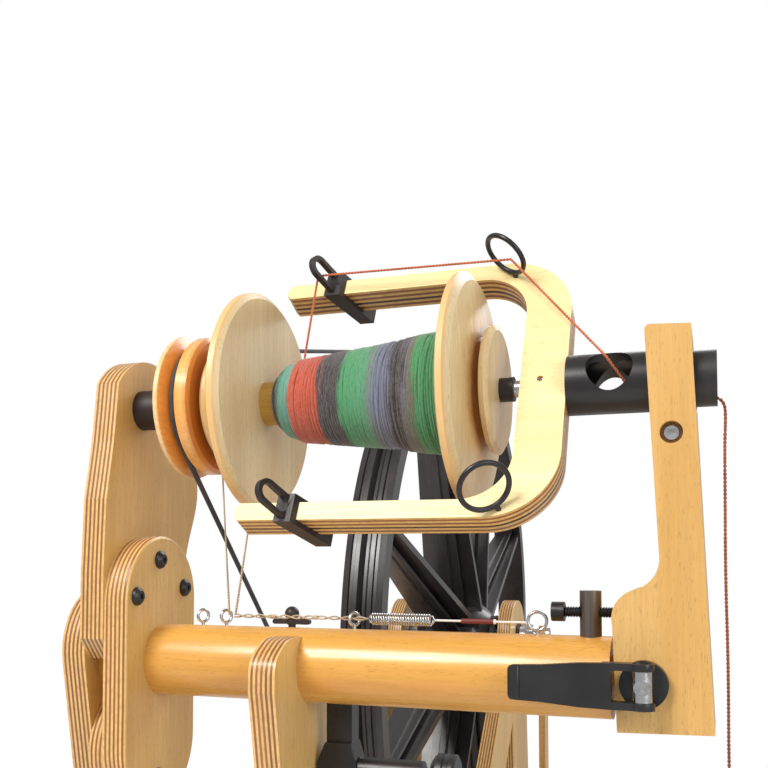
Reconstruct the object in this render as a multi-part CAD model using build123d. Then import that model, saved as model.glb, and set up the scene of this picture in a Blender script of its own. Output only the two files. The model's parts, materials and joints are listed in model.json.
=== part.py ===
from build123d import *
import os
from math import asin, atan2, cos, degrees, hypot, pi, radians, sin, sqrt, tan

# Floor-standing spinning wheel with a cantilevered flyer head, two heel-pivoted treadles and a Scotch brake.
#
# Frame: +Z up, +X along the flyer axis towards the orifice, +Y from the flyer towards the drive wheel.
# The origin is the middle of the footprint's bounding box, on the floor.

# --- driving dimensions, mm; layout places are measured from the flyer axis over the floor -------------
FLYER_Z = 700.0            # flyer axis above the floor
PLY = 14.0                 # plywood thickness
LEFT_X = -170.0            # outer face of the left side plate
RIGHT_X = -54.0            # inner face of the right side plate
BAND_X = -105.0            # plane of the drive band, midway between the side plates
DOWEL_R = 19.0             # mother-of-all dowel
DOWEL_Z = FLYER_Z - 137.0
DOWEL_END = 112.0
AXLE_Y, AXLE_Z = 549.0, FLYER_Z - 165.0
AXLE_R = 6.0
WHEEL_R = 300.0            # drive wheel outside radius
RIM_W, RIM_T = 34.0, 15.0
HUB_HALF = 38.0            # hub reaches this far either side of the band plane
SPOKES = 8
BAND_R = 1.4               # drive band cord radius
WHEEL_GROOVE_R = 296.5     # radius of the band's centre line on the wheel
WHORL_GROOVE_R = 31.0      # radius of the band's centre line on the flyer whorl
FIT = 0.05                 # running clearance on a radius
FLYER_TILT = 27.0          # turn of the flyer about its axis at rest, degrees
ARM_OUT, ARM_IN = 75.0, 65.5
FLYER_T = 15.0
BAR_X0, BAR_X1, ARM_TIP = 71.0, 93.0, -65.0
TUBE_R, TUBE_TIP_R = 14.3, 13.0
SHAFT_R = 4.0
FLANGE_R = 58.0
CORE_R = 11.7
BRAKE_GROOVE_R = 27.0      # centre line of the brake cord on the bobbin whorl
BRAKE_X = -80.0
CORD_R = 0.9
MAIDEN_HALF = 18.0         # half thickness of the front maiden
CRANK_THROW = 35.0
TREADLE_Z = 96.0
HEEL_X = 335.0
TREADLE_T = 18.0
RIGHT_FOOTMAN_X = -24.0    # inner face of each footman strip
LEFT_FOOTMAN_X = -204.0
FOOTMAN_T = 7.0

nodes = {}


def add(name, shape):
    nodes[name] = shape


# --- small helpers --------------------------------------------------------------------------------------
def x_cyl(r, x0, x1, y=0.0, z=FLYER_Z):
    """Solid cylinder along X."""
    return Pos((x0 + x1) / 2, y, z) * Rot(0, 90, 0) * Cylinder(r, abs(x1 - x0))


def z_cyl(r, z0, z1, x, y):
    return Pos(x, y, (z0 + z1) / 2) * Cylinder(r, z1 - z0)


def y_cyl(r, y0, y1, x, z):
    return Pos(x, (y0 + y1) / 2, z) * Rot(90, 0, 0) * Cylinder(r, abs(y1 - y0))


def box(x0, x1, y0, y1, z0, z1):
    return Pos((x0 + x1) / 2, (y0 + y1) / 2, (z0 + z1) / 2) * Box(x1 - x0, y1 - y0, z1 - z0)


def plate(sketch, x0, thickness):
    """Extrudes a sketch drawn in (Y, Z) from x0 towards +X."""
    return extrude(Plane.YZ.offset(x0) * sketch, thickness)


def bar(a, b, width):
    """Round-ended bar between two points of the sketch plane."""
    length = hypot(b[0] - a[0], b[1] - a[1])
    turn = degrees(atan2(b[1] - a[1], b[0] - a[0]))
    return Pos((a[0] + b[0]) / 2, (a[1] + b[1]) / 2) * Rot(0, 0, turn) * SlotCenterToCenter(length, width)


def turned(profile, y=0.0, z=FLYER_Z):
    """Turns a closed (x, radius) outline about the X axis through (y, z)."""
    outline = make_face(Polyline(*profile, close=True))
    return Pos(0, y, z) * revolve(outline, Axis.X, 360)


def rod_path(points, radii, r):
    """Round rod along straight runs joined by arcs of the given radii."""
    path = FilletPolyline(*points, radius=radii)
    start = Plane(origin=path @ 0, z_dir=path % 0)
    return sweep(start * Circle(r), path)


def run(a, b, r):
    """Round rod along one straight run."""
    line = Line(a, b)
    return sweep(Plane(origin=line @ 0, z_dir=line % 0) * Circle(r), line)


def cord_radii(points):
    """The largest arc that each corner's two runs allow."""
    radii = []
    for before, here, after in zip(points, points[1:], points[2:]):
        p, q, s = Vector(*before), Vector(*here), Vector(*after)
        turn = radians((q - p).get_angle(s - q))
        radii.append(0.45 * min((q - p).length, (s - q).length) / tan(turn / 2))
    return radii


def cord(points, r):
    radii = cord_radii(points)
    print("cord radii", [round(value, 1) for value in radii])
    return rod_path(points, radii, r)


# --- side frames ----------------------------------------------------------------------------------------
def side_sketch(front_top):
    """One side frame: front upright, rear post, brace and floor rail, cut from one sheet."""
    shape = bar((2, front_top), (96, 60), 68) + bar((AXLE_Y, AXLE_Z), (590, 60), 74)
    shape += bar((110, 60), (AXLE_Y - 8, AXLE_Z - 20), 54)
    rail = Pos(345, 24) * RectangleRounded(640, 48, 12)
    return shape + rail


def left_side_plate():
    body = plate(side_sketch(DOWEL_Z + 6), LEFT_X, PLY)
    body -= x_cyl(11, LEFT_X - 1, LEFT_X + PLY + 1, AXLE_Y, AXLE_Z)
    return body - x_cyl(DOWEL_R, LEFT_X + PLY / 2, LEFT_X + PLY + 1, 0, DOWEL_Z)


def right_side_plate():
    """The dowel lies in a cradle with a tall horn on the spinner's side and an open top."""
    front = Spline((-44, -9), (-41, 7), (-32, 13), (-18, 15.5), tangents=((0, 1), (1, 0)))
    rest = Polyline((-18, 15.5), (27, 15.5), (27, -110), (-24, -110), (-44, -9))
    shape = side_sketch(DOWEL_Z - 44) + Pos(0, DOWEL_Z) * make_face([front, rest])
    mouth = Pos(0, DOWEL_Z) * Circle(DOWEL_R) + Pos(15, DOWEL_Z + 30) * Rectangle(50, 60)
    body = plate(shape - mouth, RIGHT_X, PLY)
    return body - x_cyl(11, RIGHT_X - 1, RIGHT_X + PLY + 1, AXLE_Y, AXLE_Z)


def back_maiden():
    """Leaf-shaped plywood maiden that carries the flyer's rear bearing."""
    edge = [(-24, 12), (-28, -20), (-34, -51), (-36, -89), (-36, -124), (-27, -135)]
    start, end = (-24, 12), (40, 8)
    top = ThreePointArc(end, (9, 28), start)
    left = Polyline(*edge)
    foot = Line(edge[-1], (34, -135))
    right = Spline((34, -135), (44, -100), (49, -78), (61, -42), end, tangents=((0, 1), (-0.3, 1)))
    outline = Pos(0, FLYER_Z) * make_face([top, left, foot, right])
    body = plate(outline, LEFT_X + PLY, PLY)
    body -= x_cyl(11, LEFT_X + PLY + 4, LEFT_X + 2 * PLY + 1)
    return body - x_cyl(DOWEL_R, LEFT_X + PLY - 1, LEFT_X + 2 * PLY + 1, 0, DOWEL_Z)


def maiden_spacer():
    outline = bar((4, DOWEL_Z - 48), (22, DOWEL_Z - 130), 62) - Pos(0, DOWEL_Z) * Rectangle(120, 40)
    return plate(outline, LEFT_X + PLY, PLY)


CROSS_BARS = ((96, 84), (590, 84), (255, 205))
CHEEK_SCREWS = ((-4, 617), (-26, 598), (22, 601), (-4, 500))


def clamp_cheek():
    outline = Pos(0, DOWEL_Z - 6) * Rot(0, 0, 90) * SlotOverall(146, 70)
    body = plate(outline, LEFT_X + 2 * PLY, PLY)
    body = fillet(body.faces().sort_by(Axis.X)[-1].edges(), 2.0)
    body -= x_cyl(DOWEL_R, LEFT_X + 2 * PLY - 1, LEFT_X + 3 * PLY + 1, 0, DOWEL_Z)
    for y, z in CHEEK_SCREWS:
        body -= x_cyl(2.2, LEFT_X + 2 * PLY - 1, LEFT_X + 3 * PLY + 1, y, z)
    return body


def cheek_screws():
    """Button-head screws: a domed head with a hex socket on a short shank."""
    group = []
    face = LEFT_X + 3 * PLY
    for y, z in CHEEK_SCREWS:
        head = turned([(face, 0), (face, 5), (face + 1.5, 4.6), (face + 3, 3), (face + 3, 0)], y, z)
        shank = x_cyl(2.2, face - PLY, face, y, z)
        socket = Pos(face + 2.2, y, z) * Rot(0, 90, 0) * extrude(RegularPolygon(1.6, 6), 4)
        group.append(head + shank - socket)
    return Compound(group)


def frame_members():
    add("left_side_plate", left_side_plate())
    add("right_side_plate", right_side_plate())
    add("back_maiden", back_maiden())
    add("maiden_spacer", maiden_spacer())
    add("clamp_cheek", clamp_cheek())
    add("cheek_screws", cheek_screws())
    add("cross_bars", Compound([x_cyl(12, LEFT_X + PLY, RIGHT_X, y, z) for y, z in CROSS_BARS]))
    bolts = []
    for y, z in CROSS_BARS:
        for face, side in ((LEFT_X, -1), (RIGHT_X + PLY, 1)):
            profile = [(face, 0), (face, 8), (face + side * 1.2, 8), (face + side * 4.5, 5), (face + side * 4.5, 0)]
            bolts.append(turned(profile, y, z))
    add("frame_bolts", Compound(bolts))


# --- base -----------------------------------------------------------------------------------------------
ARM_Y = (400.0, 650.0)      # centre lines of the two floor arms
OUTRIGGER_Y = (90.0, 620.0)


def base_arm(y):
    """Floor arm from the right side plate to the heel bar, with a raised ear for the treadle axle."""
    outline = Pos((RIGHT_X + PLY + HEEL_X + 22) / 2, 21) * RectangleRounded(HEEL_X + 22 - RIGHT_X - PLY, 42, 8)
    outline += bar((HEEL_X, 30), (HEEL_X, TREADLE_Z), 40)
    body = extrude(Plane.XZ.offset(-y - PLY / 2) * outline, PLY)
    return body - y_cyl(5, y - PLY, y + PLY, HEEL_X, TREADLE_Z)


def base():
    add("base_arms", Compound([base_arm(y) for y in ARM_Y]))
    heel_half = PLY / 2
    add("heel_bar", box(HEEL_X - 14, HEEL_X + 14, ARM_Y[0] + heel_half, ARM_Y[1] - heel_half, 4, 40))
    add("treadle_axle", y_cyl(5, ARM_Y[0] - 14, ARM_Y[1] + 14, HEEL_X, TREADLE_Z))
    outrigger = Pos(-245, 20) * RectangleRounded(150, 40, 10)
    add("outriggers", Compound([extrude(Plane.XZ.offset(-y - PLY / 2) * outrigger, PLY) for y in OUTRIGGER_Y]))
    angle = box(RIGHT_X + PLY, RIGHT_X + PLY + 3, 0, 26, 8, 38) + box(RIGHT_X + PLY, RIGHT_X + PLY + 26, 0, 3, 8, 38)
    add("angle_brackets", Compound([Pos(0, y + PLY / 2, 0) * angle for y in ARM_Y]))


# --- mother-of-all and Scotch brake hardware ------------------------------------------------------------
EYES = (-103.0, -89.0, -16.0, 77.0)
EYE_RINGS = ((3.2, 58), (3.2, 58), (3.2, 58), (4.4, 8))   # ring radius and turn of each eye
EYE_Z = DOWEL_Z + DOWEL_R + 5.0
EYE_SHANK_R = 0.9
STOP_X, STOP_R = 102.0, 5.0
SPRING_X = (-8.5, 26.5)
TENSION_DROP = 35.0        # tension rod below the dowel
KNOB_X, KNOB_Y, KNOB_STEM_R = -57.0, 14.0, 2.0


def mother_of_all():
    body = x_cyl(DOWEL_R, LEFT_X + PLY / 2, DOWEL_END, 0, DOWEL_Z)
    body += x_cyl(11, DOWEL_END, DOWEL_END + 32, 0, DOWEL_Z)
    body = chamfer(body.edges().filter_by(GeomType.CIRCLE).sort_by(Axis.X)[-1], 1.5)
    for x in EYES:
        body -= z_cyl(EYE_SHANK_R, DOWEL_Z + DOWEL_R - 6, DOWEL_Z + DOWEL_R + 1, x, 0)
    body -= z_cyl(STOP_R, DOWEL_Z + 6, DOWEL_Z + DOWEL_R + 1, STOP_X, 0)
    return body - z_cyl(KNOB_STEM_R + FIT, DOWEL_Z - 1, DOWEL_Z + DOWEL_R, KNOB_X, KNOB_Y)


def eye_screws():
    group = []
    for x, (r, turn) in zip(EYES, EYE_RINGS):
        z = DOWEL_Z + DOWEL_R + r + 1.8
        ring = Pos(x, 0, z) * Rot(0, 0, turn) * Rot(90, 0, 0) * Torus(r, 0.8)
        group.append(ring + z_cyl(EYE_SHANK_R, DOWEL_Z + DOWEL_R - 6, z - r + 0.4, x, 0))
    return Compound(group)


def stop_post():
    body = z_cyl(STOP_R, DOWEL_Z + 6, DOWEL_Z + DOWEL_R + 21, STOP_X, 0)
    return body - x_cyl(2.7, STOP_X - 7, STOP_X + 7, 0, DOWEL_Z + DOWEL_R + 11)


def stop_screw():
    z = DOWEL_Z + DOWEL_R + 11
    head = x_cyl(4.6, 84, 90, 0, z) - Pos(83, 0, z) * Rot(0, 90, 0) * extrude(RegularPolygon(2.2, 6), 4)
    pitch, turns = 1.25, 18
    teeth = [(90 + pitch * (i + j / 2), (2.1, 2.6)[j]) for i in range(turns) for j in (0, 1)]
    return head + turned([(90, 0), *teeth, (90 + pitch * turns, 0)], 0, z)


def brake_hardware():
    """A spring and a short line run along the dowel from the brake cord to the last eye."""
    z = EYE_Z + 0.4
    add("brake_spring", x_cyl(3.1, SPRING_X[0], SPRING_X[1], 0, z) - x_cyl(1.9, -20, 40, 0, z))
    line = x_cyl(0.55, SPRING_X[1] + 0.2, 40, 0, z) + x_cyl(1.2, 40, 57, 0, z)
    add("brake_line", line + x_cyl(0.55, 57, EYES[3] - 5.6, 0, z))


def brake_cord():
    """The cord rises from the second eye, goes half round the bobbin whorl and comes back to the eye."""
    low = DOWEL_Z + DOWEL_R + 6
    start, end = (EYES[1] + 3.6, -3.5, low), (EYES[1] + 3.6, 3.5, low)
    r = BRAKE_GROOVE_R
    near = asin(r / (FLYER_Z - low)) - asin(3.5 / (FLYER_Z - low))
    touch_low, touch_high = (BRAKE_X, -r * cos(near), FLYER_Z - r * sin(near)), (BRAKE_X, 0, FLYER_Z + r)
    mirrored = (BRAKE_X, r * cos(near), FLYER_Z - r * sin(near))
    over = ThreePointArc(touch_low, touch_high, mirrored)
    ring = sweep(Plane(origin=touch_low, z_dir=over % 0) * Circle(CORD_R), over)
    return run(start, touch_low, CORD_R) + ring + run(mirrored, end, CORD_R)


def brake_tie():
    """The doubled cord from the eye to the spring's loop."""
    z = EYE_Z + 0.4
    return x_cyl(1.2, EYES[1] + 4.9, SPRING_X[0] - 0.4, 0, z)


def brake_knob():
    """Winged friction peg standing in the back of the dowel."""
    x, y = KNOB_X, KNOB_Y
    bulb, wing = DOWEL_Z + DOWEL_R + 6.2, DOWEL_Z + DOWEL_R + 1.8
    body = Pos(x, y, bulb) * Sphere(3.9) + z_cyl(2.6, wing - 1.4, bulb, x, y)
    sketch = bar((-9.5, 0.2), (0, 0.4), 2.8) + bar((0, 0.4), (9.2, 0.2), 3.0)
    body += Pos(x, y, wing) * extrude(Plane.XZ * sketch, 1.5, both=True)
    return body + z_cyl(KNOB_STEM_R, DOWEL_Z + 2, bulb, x, y)


# --- drive wheel ----------------------------------------------------------------------------------------
def wheel_rim():
    """Ribbed rim with a V groove for the drive band."""
    half, out, inner = RIM_W / 2, WHEEL_R, WHEEL_R - RIM_T
    floor = WHEEL_GROOVE_R - BAND_R - 0.3
    side = [(4.5, out), (8, out), (8.8, out - 1.6), (11.2, out - 1.6), (12, out), (half, out - 1), (half, inner)]
    profile = [(-x, r) for x, r in reversed(side)] + [(-1.2, floor), (1.2, floor)] + side
    return turned([(BAND_X + x, r) for x, r in profile], AXLE_Y, AXLE_Z)


def wheel_spokes():
    """Eight tapered spokes with a deep centre rib, joined by a dished hub."""
    hub = turned([(BAND_X - HUB_HALF, AXLE_R + FIT), (BAND_X - HUB_HALF, 22), (BAND_X - 24, 34), (BAND_X + 24, 34),
                  (BAND_X + HUB_HALF, 22), (BAND_X + HUB_HALF, AXLE_R + FIT)], AXLE_Y, AXLE_Z)
    reach = WHEEL_R - RIM_T
    web = Plane.YZ * make_face(Polyline((-17, 26), (17, 26), (11, reach), (-11, reach), close=True))
    rib = Plane.XZ * make_face(Polyline((-30, 26), (30, 26), (15, reach), (-15, reach), close=True))
    edge = Plane.XZ * make_face(Polyline((-14, 26), (14, 26), (8, reach), (-8, reach), close=True))
    spoke = extrude(web, 3, both=True) + extrude(rib, 3, both=True)
    spoke += Pos(0, 9, 0) * extrude(edge, 1.6, both=True) + Pos(0, -9, 0) * extrude(edge, 1.6, both=True)
    spoke &= x_cyl(reach, -40, 40, 0, 0)
    for i in range(SPOKES):
        hub += Pos(BAND_X, AXLE_Y, AXLE_Z) * Rot(360 / SPOKES * (i + 0.5), 0, 0) * spoke
    return hub - x_cyl(AXLE_R, BAND_X - 50, BAND_X + 50, AXLE_Y, AXLE_Z)


def hub_cup():
    face = BAND_X + HUB_HALF
    return turned([(face, AXLE_R + 1), (face, 20), (face + 5, 21), (face + 5, 18), (face + 1.5, 17),
                   (face + 1.5, AXLE_R + 1)], AXLE_Y, AXLE_Z)


def crank(side):
    """Crank arm on one end of the axle; the throws point opposite ways along Y."""
    x0, x1 = (RIGHT_X + PLY + 2.5, RIGHT_X + PLY + 8.5) if side > 0 else (LEFT_X - 9.5, LEFT_X - 3.5)
    arm = bar((AXLE_Y, AXLE_Z), (AXLE_Y + side * CRANK_THROW, AXLE_Z), 20)
    return plate(arm, x0, x1 - x0) - x_cyl(AXLE_R, x0 - 1, x1 + 1, AXLE_Y, AXLE_Z)


def crank_pin(side):
    y = AXLE_Y + side * CRANK_THROW
    if side > 0:
        inner, strip = RIGHT_X + PLY + 8.5, RIGHT_FOOTMAN_X
        return x_cyl(4, inner, strip + FOOTMAN_T + 1, y, AXLE_Z) + x_cyl(
            7, strip + FOOTMAN_T + 0.5, strip + FOOTMAN_T + 4, y, AXLE_Z)
    inner, strip = LEFT_X - 9.5, LEFT_FOOTMAN_X
    return x_cyl(4, strip - 1, inner, y, AXLE_Z) + x_cyl(7, strip - 4, strip - 0.5, y, AXLE_Z)


def drive_wheel():
    add("wheel_rim", wheel_rim())
    add("wheel_spokes", wheel_spokes())
    add("hub_cup", hub_cup())
    add("wheel_axle", x_cyl(AXLE_R, LEFT_X - 9.5, RIGHT_X + PLY + 8.5, AXLE_Y, AXLE_Z))
    bearings = []
    for x0, flange_x in ((LEFT_X, LEFT_X - 1.8), (RIGHT_X, RIGHT_X + PLY)):
        bush = x_cyl(11, x0, x0 + PLY, AXLE_Y, AXLE_Z) + x_cyl(14, flange_x, flange_x + 1.8, AXLE_Y, AXLE_Z)
        bearings.append(bush - x_cyl(AXLE_R + FIT, x0 - 5, x0 + PLY + 5, AXLE_Y, AXLE_Z))
    add("axle_bearings", Compound(bearings))
    add("cranks", Compound([crank(-1), crank(1)]))
    add("crank_pins", Compound([crank_pin(-1), crank_pin(1)]))


def drive_band():
    """Open belt round the wheel and the flyer whorl."""
    span = hypot(AXLE_Y, AXLE_Z - FLYER_Z)
    lean = atan2(AXLE_Z - FLYER_Z, AXLE_Y)
    spread = asin((WHEEL_GROOVE_R - WHORL_GROOVE_R) / span)

    def on_circle(y, z, r, angle):
        return (BAND_X, y + r * cos(angle), z + r * sin(angle))

    top, bottom = lean + pi / 2 + spread, lean - pi / 2 - spread
    small = [on_circle(0, FLYER_Z, WHORL_GROOVE_R, a) for a in (bottom, lean + pi, top)]
    large = [on_circle(AXLE_Y, AXLE_Z, WHEEL_GROOVE_R, a) for a in (top, lean, bottom)]
    loop = Wire([ThreePointArc(*small).edge(), Line(small[2], large[0]).edge(),
                 ThreePointArc(*large).edge(), Line(large[2], small[0]).edge()])
    start = Line(large[2], small[0])
    return sweep(Plane(origin=start @ 0, z_dir=start % 0) * Circle(BAND_R), loop)


# --- flyer ----------------------------------------------------------------------------------------------
def on_flyer(shape):
    """Places a piece drawn with the flyer flat in XZ, pale face towards -Y, at its turned rest position."""
    return Pos(0, 0, FLYER_Z) * Rot(-FLYER_TILT, 0, 0) * shape


def flyer_frame():
    outer = Pos((ARM_TIP + BAR_X1) / 2, 0) * Rectangle(BAR_X1 - ARM_TIP, 2 * ARM_OUT)
    outer = fillet(outer.vertices().group_by(Axis.X)[-1], 34)
    inner = Pos((ARM_TIP - 10 + BAR_X0) / 2, 0) * Rectangle(BAR_X0 - ARM_TIP + 10, 2 * ARM_IN)
    inner = fillet(inner.vertices().group_by(Axis.X)[-1], 24)
    body = extrude(Plane.XZ * (outer - inner), FLYER_T / 2, both=True)
    body = chamfer(body.edges().filter_by(Axis.Y).group_by(Axis.X)[0], 2.5)
    body -= x_cyl(SHAFT_R, 60, BAR_X0 + 16, 0, 0)
    body -= y_cyl(1.6, -FLYER_T, -SHAFT_R + 1, 80.5, 0)
    return on_flyer(body)


def orifice_tube():
    """Tube with an open mouth and a round window cut through both walls."""
    body = turned([(BAR_X1, 0), (BAR_X1, TUBE_R), (131, TUBE_R), (131, TUBE_TIP_R), (159.5, TUBE_TIP_R),
                   (159.5, 10.5), (99, 10.5), (99, 0)], 0, 0)
    return on_flyer(body - y_cyl(10.6, -20, 20, 113, 0))


GUIDE_R, GUIDE_WIRE_R = 11.5, 1.3
HOOK_X = -32.0
HOOK_EYE = (-7.6, -17.0, 71.4)   # where the yarn runs through the upper hook's loop, from HOOK_X


def flyer_point(x, y, z):
    """Where a point drawn on the flat flyer lies at rest."""
    turn = radians(FLYER_TILT)
    return (x, y * cos(turn) + z * sin(turn), FLYER_Z - y * sin(turn) + z * cos(turn))


def ring_guide(foot, lean, normal):
    """Wire ring on a stub that leans off the pale face near a corner of the flyer."""
    foot, out = Vector(*foot), Vector(*lean).normalized()
    centre = foot + out * (GUIDE_R + 2.5)
    ring = Plane(origin=centre, x_dir=out, z_dir=Vector(*normal)) * Torus(GUIDE_R, GUIDE_WIRE_R)
    return ring + run(foot - out * 4, centre - out * GUIDE_R, GUIDE_WIRE_R)


def ring_guides():
    upper = ring_guide((63.5, -FLYER_T / 2, 66), (-0.22, -0.95, 0.22), (0.564, 0.055, 0.824))
    lower = ring_guide((67, -FLYER_T / 2, -71), (-4, -12, 4), (0.46, -0.39, -0.71))
    return Compound([on_flyer(upper), on_flyer(lower)])


def flyer_hook(side):
    """Sliding guide: a slanted sleeve round the arm with a leaning loop for the yarn."""
    gap = 0.3
    mid = side * (ARM_OUT + ARM_IN) / 2
    half_arm, half_t = (ARM_OUT - ARM_IN) / 2, FLYER_T / 2
    slant = Plane.XY * make_face(Polyline((-9, -11), (0, -11), (12, 15), (4, 15), close=True))
    sleeve = extrude(slant, half_arm + 3, both=True)
    sleeve -= box(-20, 20, -half_t - gap, half_t + gap, -half_arm - gap, half_arm + gap)
    loop = bar((-3, 0), (12, -2.2), 13) - bar((3, -0.5), (12, -2.2), 8)
    tilted = Plane(origin=(-4.5, -11, 0), x_dir=(-0.4, -0.917, 0), z_dir=(0.917, -0.4, 0))
    blade = extrude(tilted * loop, 1.5, both=True) - box(-20, 20, -half_t - gap, half_t, -9, 9)
    return on_flyer(Pos(HOOK_X, 0, mid) * (sleeve + blade))


def flyer():
    add("flyer_frame", flyer_frame() - ring_guides())
    add("orifice_tube", orifice_tube())
    add("flyer_shaft", x_cyl(SHAFT_R, LEFT_X + PLY + 5, BAR_X0 + 16))
    add("flyer_whorl", turned([(-114, SHAFT_R), (-114, 30), (-112, 38.5), (-109.5, 38.5), (-106.2, 29.3),
                               (-103.8, 29.3), (-100.5, 37), (-94, 37), (-92.5, 35), (-92.5, SHAFT_R)]))
    set_screw = y_cyl(1.5, -FLYER_T / 2 + 1.5, -SHAFT_R, 80.5, 0)
    add("flyer_set_screw", on_flyer(set_screw - y_cyl(0.8, -FLYER_T / 2 + 1, -FLYER_T / 2 + 3, 80.5, 0)))
    add("ring_guides", ring_guides())
    add("upper_hook", flyer_hook(1))
    add("lower_hook", flyer_hook(-1))
    add("rear_bearing", x_cyl(11, LEFT_X + PLY + 4, -122) - x_cyl(SHAFT_R + FIT, LEFT_X, -120))


# --- bobbin ---------------------------------------------------------------------------------------------
def bobbin():
    bore = SHAFT_R + FIT
    add("bobbin_rear_flange", turned([
        (-89, bore), (-89, 31), (-87, 33), (-84, 33), (-80.9, 25.8), (-79.1, 25.8), (-76, 33), (-72.2, 36),
        (-72.2, 55.5), (-70.5, FLANGE_R), (-67.5, FLANGE_R), (-65, 55), (-65, bore)]))
    add("bobbin_core", x_cyl(CORE_R, -65, 41) - x_cyl(bore, -66, 42))
    add("bobbin_front_flange", turned([
        (41, bore), (41, 52), (43, 57.5), (46, 58.3), (49, 54), (51, 38), (52.5, 26), (54, 24), (55, 26), (56, 30.5),
        (58.5, 31.7), (60.2, 29), (60.2, bore)]))
    add("bobbin_bushing", x_cyl(6, 60.2, 67) - x_cyl(bore, 60, 68))
    add("yarn_package", turned([
        (-57, CORE_R), (-57, 14.5), (-52, 19), (-44, 22), (-20, 24.5), (0, 26.5), (24, 30), (40.8, 31.5),
        (40.8, CORE_R)]))


# --- front maiden ---------------------------------------------------------------------------------------
def front_maiden():
    """Solid maple maiden: narrow top, concave step, wide foot that takes the dowel's tenon."""
    z = FLYER_Z
    steps = [Line((129, z + 23), (149, z + 22)), Line((149, z + 22), (156, z - 158)), Line((156, z - 158), (115, z - 159)),
             Line((115, z - 159), (113.5, z - 112)), ThreePointArc((113.5, z - 112), (116, z - 100.5), (124, z - 95.5)),
             ThreePointArc((124, z - 95.5), (131.5, z - 90), (134, z - 80)), Line((134, z - 80), (129, z + 23))]
    body = extrude(Plane.XZ * make_face(steps), MAIDEN_HALF, both=True)
    body = fillet(body.edges().filter_by(Axis.Y).group_by(Axis.Z)[-1], 2.5)
    body -= x_cyl(TUBE_R + 1.5, 120, 165)
    body -= x_cyl(11.1, 112, DOWEL_END + 33, 0, DOWEL_Z)
    return body - y_cyl(5, -MAIDEN_HALF - 1, -MAIDEN_HALF + 8, 140, z - 26)


def maiden_group():
    z = DOWEL_Z
    add("front_maiden", front_maiden())
    add("front_bearing", x_cyl(TUBE_R + 1.5, 131.5, 149) - x_cyl(TUBE_TIP_R + FIT, 130, 150))
    screw = y_cyl(3.2, -MAIDEN_HALF + 3, -MAIDEN_HALF + 8, 140, FLYER_Z - 26)
    add("maiden_set_screw", screw - y_cyl(1.6, -MAIDEN_HALF + 2, -MAIDEN_HALF + 5, 140, FLYER_Z - 26))
    face = -MAIDEN_HALF
    add("clamp_disc", y_cyl(10.5, face - 5, face, 127, z))
    barrel = z_cyl(4.2, z - 6.6, z + 6.6, 127, face - 10.6)
    add("clamp_barrel", barrel + y_cyl(3.4, face - 16, face - 5, 127, z))


def clamp_lever():
    """Cam lever: two cheeks on the barrel and a flat blade folded back along the dowel."""
    z, y = DOWEL_Z, -MAIDEN_HALF - 10.6
    cheek = Plane.XY * (Pos(127, y) * Circle(5.2) + Pos(119, y) * Rectangle(16, 7) - Pos(127, y) * Circle(4.2 + FIT))
    cheeks = Pos(0, 0, z + 6.8) * extrude(cheek, 3.2) + Pos(0, 0, z - 10) * extrude(cheek, 3.2)
    half = [(69, 7.6), (84, 8.2), (100, 9.6), (114, 10)]
    face = Polyline(*[(px, -pz) for px, pz in half], *reversed(half), close=True)
    outline = fillet(make_face(face).vertices().group_by(Axis.X)[0], 2.2)
    blade = Pos(0, y + 0.5, z) * extrude(Plane.XZ * outline, 4)
    tip = Pos(72, y - 2.2, z) * Box(5, 4.6, 14.4)
    return blade + fillet(tip.edges().filter_by(Axis.Z), 1.4) + cheeks + box(110, 114, y - 1, y + 3.4, z - 10, z + 10)


# --- drive-band tension unit ----------------------------------------------------------------------------
def tension_unit():
    """A hanger under the dowel holds a threaded rod whose knob draws the head against the band."""
    x0, y, z = -34.0, 12.0, DOWEL_Z - DOWEL_R
    rod_z = z - TENSION_DROP
    foot = make_face(Polyline((0, 14), (14, 14), (17, 4), (17, -9), (-4.5, -9), (-4.5, 4), close=True))
    strap = box(x0, x0 + 14, y - 5, y + 5, rod_z + 8, z + 8)
    strap += Pos(x0, y, rod_z) * extrude(Plane.XZ * foot, 7, both=True)
    strap -= x_cyl(DOWEL_R, x0 - 9, x0 + 25, 0, DOWEL_Z) + x_cyl(3 + FIT, x0 - 10, x0 + 30, y, rod_z)
    add("tension_hanger", strap)
    add("tension_sleeve", x_cyl(6.5, x0 + 17, 17, y, rod_z) - x_cyl(3 + FIT, x0, 20, y, rod_z))
    profile = [(22, 0), (22, 8), (23.5, 10), (25, 11), (28, 11), (28.5, 10), (31, 10), (31.5, 11), (33.5, 11)]
    knob = turned([*profile, (34.5, 9.5), (34.5, 0)], y, rod_z)
    add("tension_knob", knob + x_cyl(3, x0 - 4, 23, y, rod_z))


# --- treadles -------------------------------------------------------------------------------------------
def treadle(pad_y, arm_y, arm_x, pad_x, tab=None):
    """Foot board on the heel axle with a narrow arm, and a side tab where the footman hangs farther back."""
    board = Pos((pad_x + HEEL_X - 8) / 2, pad_y) * RectangleRounded(HEEL_X - 8 - pad_x, 96, 14)
    arm = Pos((arm_x + pad_x + 40) / 2, arm_y) * RectangleRounded(pad_x + 40 - arm_x, 30, 8)
    if tab:
        arm += Pos(arm_x + 8, (arm_y + tab) / 2) * Rectangle(16, tab - arm_y)
    body = extrude(Plane.XY.offset(TREADLE_Z - TREADLE_T / 2) * (board + arm), TREADLE_T)
    body += y_cyl(11, pad_y - 47, pad_y + 47, HEEL_X, TREADLE_Z)
    body += box(HEEL_X - 22, HEEL_X - 4, pad_y - 47, pad_y + 47, TREADLE_Z - 8, TREADLE_Z + 8)
    return body - y_cyl(5 + FIT, pad_y - 60, pad_y + 60, HEEL_X, TREADLE_Z)


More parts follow.
